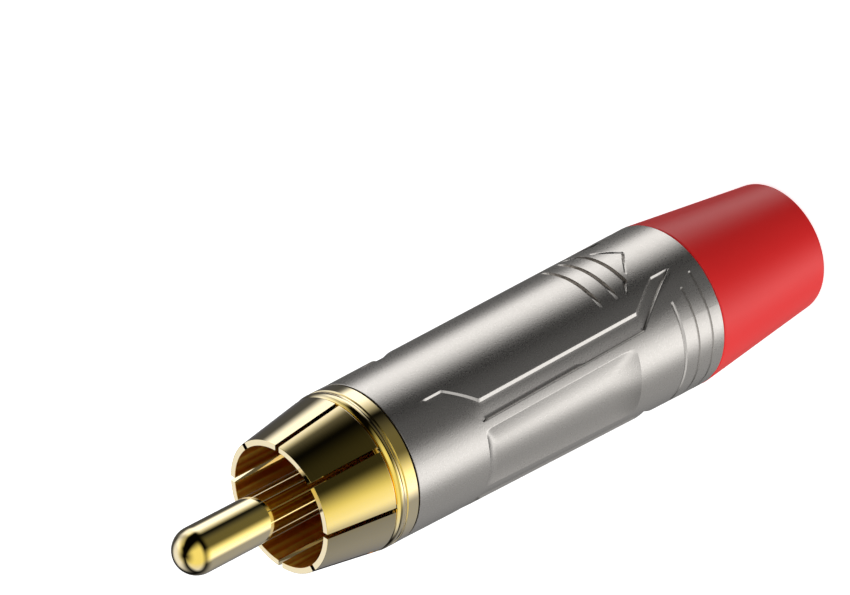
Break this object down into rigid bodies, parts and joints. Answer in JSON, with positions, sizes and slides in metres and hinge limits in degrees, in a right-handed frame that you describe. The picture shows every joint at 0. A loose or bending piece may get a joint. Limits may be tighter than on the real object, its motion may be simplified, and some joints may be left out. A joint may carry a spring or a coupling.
{
  "type": "rca plug",
  "caption": "Cable-end RCA plug: a domed centre pin in a slotted spring collar, a tapered metal shell with sunk thumb recesses, and a screw-on rear boot with a cable hole.",
  "frame": {"origin": "centre of the boot's flat rear end, on which the plug stands", "axes": "+Z along the plug's axis towards the pin's tip; +X out of the middle of the bare panel; the thumb recesses face +Y and -Y"},
  "size_m": [0.012, 0.012, 0.0552],
  "materials": {
    "gold_plate": "polished gold plating on turned brass",
    "satin_nickel": "satin nickel plating on blasted die-cast zinc",
    "red_plastic": "satin moulded nylon",
    "insulator_plastic": "moulded black acetal",
    "tinned_brass": "tin plating on pressed brass sheet",
    "sleeve_plastic": "extruded polypropylene tube",
    "chuck_plastic": "moulded nylon"
  },
  "bodies": {
    "shell": {"shell": "satin_nickel"},
    "sleeve": {"insulating_sleeve": "sleeve_plastic"},
    "contacts": {"centre_pin": "gold_plate", "pin_insulator": "insulator_plastic", "ground_contact": "gold_plate", "ground_tag": "tinned_brass"},
    "chuck": {"chuck": "chuck_plastic"},
    "boot": {"boot": "red_plastic"}
  },
  "joints": [
    {"name": "contact_draw", "type": "slide", "parent": "shell", "child": "sleeve", "axis": [0, 0, 1], "range_m": [0, 0.0045]},
    {"name": "contact_unscrew", "type": "hinge", "parent": "sleeve", "child": "contacts", "pos_m": [0, 0, 0.0373], "axis": [0, 0, 1], "range_deg": [0, 2160]},
    {"name": "boot_draw", "type": "slide", "parent": "shell", "child": "chuck", "axis": [0, 0, -1], "range_m": [0, 0.005]},
    {"name": "boot_unscrew", "type": "hinge", "parent": "chuck", "child": "boot", "pos_m": [0, 0, 0.0142], "axis": [0, 0, -1], "range_deg": [0, 1800]}
  ],
  "couplings": [
    {"joint": "contact_unscrew", "follows": "contact_draw", "rad_per_m": 8377.6},
    {"joint": "boot_unscrew", "follows": "boot_draw", "rad_per_m": 6283.2}
  ]
}
